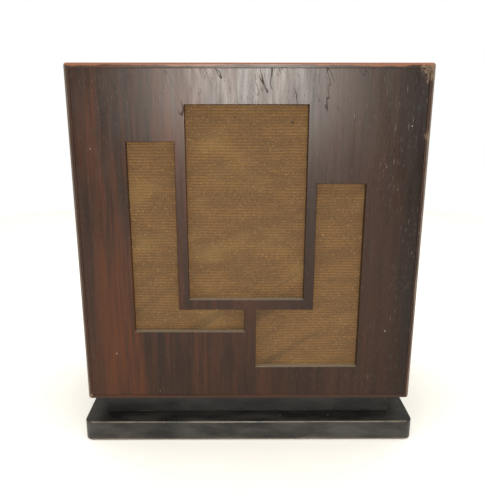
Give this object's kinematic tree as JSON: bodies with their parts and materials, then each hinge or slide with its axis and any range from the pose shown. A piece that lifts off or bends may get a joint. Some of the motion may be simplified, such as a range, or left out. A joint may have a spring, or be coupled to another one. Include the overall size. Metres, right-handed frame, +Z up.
{
  "type": "crystal radio set",
  "caption": "Square veneered table-top crystal radio with a cloth-backed pierced front, a built-in cone loudspeaker and rear-panel controls, on a recessed black plinth",
  "frame": {"origin": "on the table under the middle of the base", "axes": "+Z up, the front faces -Y, +X to the right seen from the front"},
  "size_m": [0.315, 0.188, 0.347],
  "materials": {
    "veneer": "straight-grained dark veneer, french polished and worn",
    "case_wood": "dark polished wood, worn to orange-brown along the arrises",
    "ebonised": "black polish, rubbed through at the edges",
    "deal": "planed deal, unfinished",
    "plywood": "stained birch plywood",
    "felt": "green wool felt",
    "grille_cloth": "golden-brown ribbed grille cloth",
    "ebonite": "polished black ebonite",
    "brass": "lacquered brass, a little tarnished",
    "bronze_wire": "springy phosphor-bronze wire",
    "steel": "zinc plated",
    "soft_iron": "dark annealed iron",
    "black_enamel": "black stoved enamel",
    "magnet_paint": "dull red paint",
    "cone_paper": "stiff buff paper",
    "soft_leather": "thin kid leather",
    "aluminium": "bright rolled sheet",
    "paxolin": "brown varnished paper tube",
    "enamelled_copper": "fine enamelled copper wire",
    "cotton_covered_wire": "close-wound wire in green cotton",
    "glass": "clear tube",
    "galena": "sparkling lead-grey mineral"
  },
  "bodies": {
    "cabinet": {"base_felt": "felt", "base_board": "ebonised", "neck_board": "ebonised", "plinth_screws": "steel", "bottom_board": "case_wood", "right_side": "case_wood", "top_board": "case_wood", "left_side": "case_wood", "fret_panel": "veneer", "grille_cloth": "grille_cloth", "baffle_board": "plywood", "battens": "deal", "back_panel": "plywood", "control_panel": "ebonite", "cabinet_screws": "brass", "speaker_basket": "black_enamel", "cone_surround": "soft_leather", "speaker_screws": "brass", "driver_plate": "steel", "driver_clamp": "steel", "driver_bolts": "steel", "horseshoe_magnet": "magnet_paint", "pole_pieces": "soft_iron", "coil_bobbin": "paxolin", "driver_winding": "enamelled_copper", "tuner_end_plates": "aluminium", "tuner_posts": "brass", "fixed_vanes": "aluminium", "shaft_bush": "brass", "dial_pointer": "brass", "contact_studs": "brass", "detector_pillars": "brass", "detector_caps": "brass", "detector_glass": "glass", "galena_crystal": "galena", "terminal_posts": "brass", "terminal_hex_nuts": "brass", "coil_former": "paxolin", "coil_winding": "cotton_covered_wire", "coil_cradles": "deal"},
    "cone": {"speaker_cone": "cone_paper", "cone_washers": "aluminium", "drive_rod": "brass", "rod_nuts": "brass"},
    "armature": {"armature_reed": "soft_iron"},
    "adjuster": {"adjusting_screw": "brass"},
    "tuner": {"tuning_shaft": "brass", "moving_vanes": "aluminium", "tuning_dial": "ebonite", "tuning_knob": "ebonite"},
    "tap_switch": {"switch_arm": "brass", "switch_knob": "ebonite"},
    "detector_joint": {"detector_ball": "brass"},
    "whisker": {"whisker_rod": "brass", "whisker_knob": "ebonite", "cat_whisker": "bronze_wire"},
    "aerial_thumb_nut": {"aerial_nut": "brass"},
    "earth_thumb_nut": {"earth_nut": "brass"},
    "phone_thumb_nut_upper": {"phone_nut_upper": "brass"},
    "phone_thumb_nut_lower": {"phone_nut_lower": "brass"}
  },
  "joints": [
    {"name": "tuning_turn", "type": "hinge", "parent": "cabinet", "child": "tuner", "pos_m": [0.055, 0.062, 0.102], "axis": [0, 1, 0], "range_deg": [0, 180]},
    {"name": "tap_switch_turn", "type": "hinge", "parent": "cabinet", "child": "tap_switch", "pos_m": [-0.052, 0.062, 0.084], "axis": [0, 1, 0], "range_deg": [-40, 40]},
    {"name": "detector_swivel", "type": "hinge", "parent": "cabinet", "child": "detector_joint", "pos_m": [-0.0245, 0.076, 0.136], "axis": [0, 1, 0], "range_deg": [-8, 8]},
    {"name": "whisker_slide", "type": "slide", "parent": "detector_joint", "child": "whisker", "axis": [1, 0, 0], "range_m": [0, 0.006]},
    {"name": "cone_drive", "type": "slide", "parent": "cabinet", "child": "cone", "axis": [0, -1, 0], "range_m": [-0.0008, 0.0008], "stiffness_N_per_m": 1500},
    {"name": "armature_rock", "type": "hinge", "parent": "cabinet", "child": "armature", "pos_m": [-0.002, 0.0065, 0.16], "axis": [1, 0, 0], "range_deg": [-1.4, 1.4]},
    {"name": "adjuster_turn", "type": "hinge", "parent": "cabinet", "child": "adjuster", "pos_m": [-0.002, 0.03, 0.133], "axis": [0, 1, 0], "range_deg": [-180, 180]},
    {"name": "aerial_thumb_nut_turn", "type": "hinge", "parent": "cabinet", "child": "aerial_thumb_nut", "pos_m": [0.12, 0.069, 0.126], "axis": [0, 1, 0], "range_deg": [0, 360]},
    {"name": "earth_thumb_nut_turn", "type": "hinge", "parent": "cabinet", "child": "earth_thumb_nut", "pos_m": [0.12, 0.069, 0.082], "axis": [0, 1, 0], "range_deg": [0, 360]},
    {"name": "phone_thumb_nut_upper_turn", "type": "hinge", "parent": "cabinet", "child": "phone_thumb_nut_upper", "pos_m": [-0.12, 0.069, 0.126], "axis": [0, 1, 0], "range_deg": [0, 360]},
    {"name": "phone_thumb_nut_lower_turn", "type": "hinge", "parent": "cabinet", "child": "phone_thumb_nut_lower", "pos_m": [-0.12, 0.069, 0.082], "axis": [0, 1, 0], "range_deg": [0, 360]}
  ],
  "couplings": [
    {"joint": "armature_rock", "follows": "cone_drive", "rad_per_m": 29.412}
  ]
}
